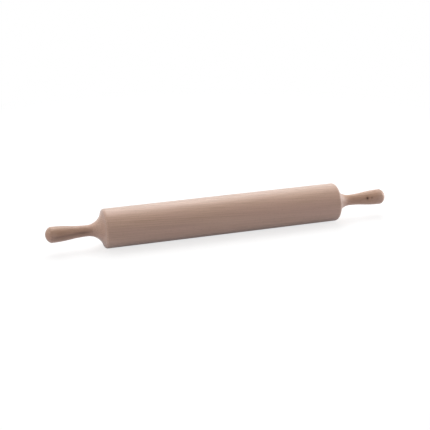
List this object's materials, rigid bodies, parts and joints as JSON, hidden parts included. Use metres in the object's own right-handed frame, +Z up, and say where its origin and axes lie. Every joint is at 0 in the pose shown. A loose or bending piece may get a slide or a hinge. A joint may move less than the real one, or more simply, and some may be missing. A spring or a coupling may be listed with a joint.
{
  "type": "handled rolling pin",
  "caption": "Turned beech rolling pin: a straight barrel with rounded rims and hollow shoulders, and a swelling grip glued into each end.",
  "frame": {"origin": "middle of the barrel, on the pin's axis", "axes": "+X along the pin's axis towards the right handle, +Z up, the worktop below it at z = -30 mm"},
  "size_m": [0.55, 0.06, 0.06],
  "materials": {
    "beech_barrel": "fine-sanded, unvarnished beech",
    "beech_handle": "fine-sanded, unvarnished beech, a little browner than the barrel"
  },
  "bodies": {
    "root": {"barrel": "beech_barrel", "left_handle": "beech_handle", "right_handle": "beech_handle"}
  },
  "joints": []
}
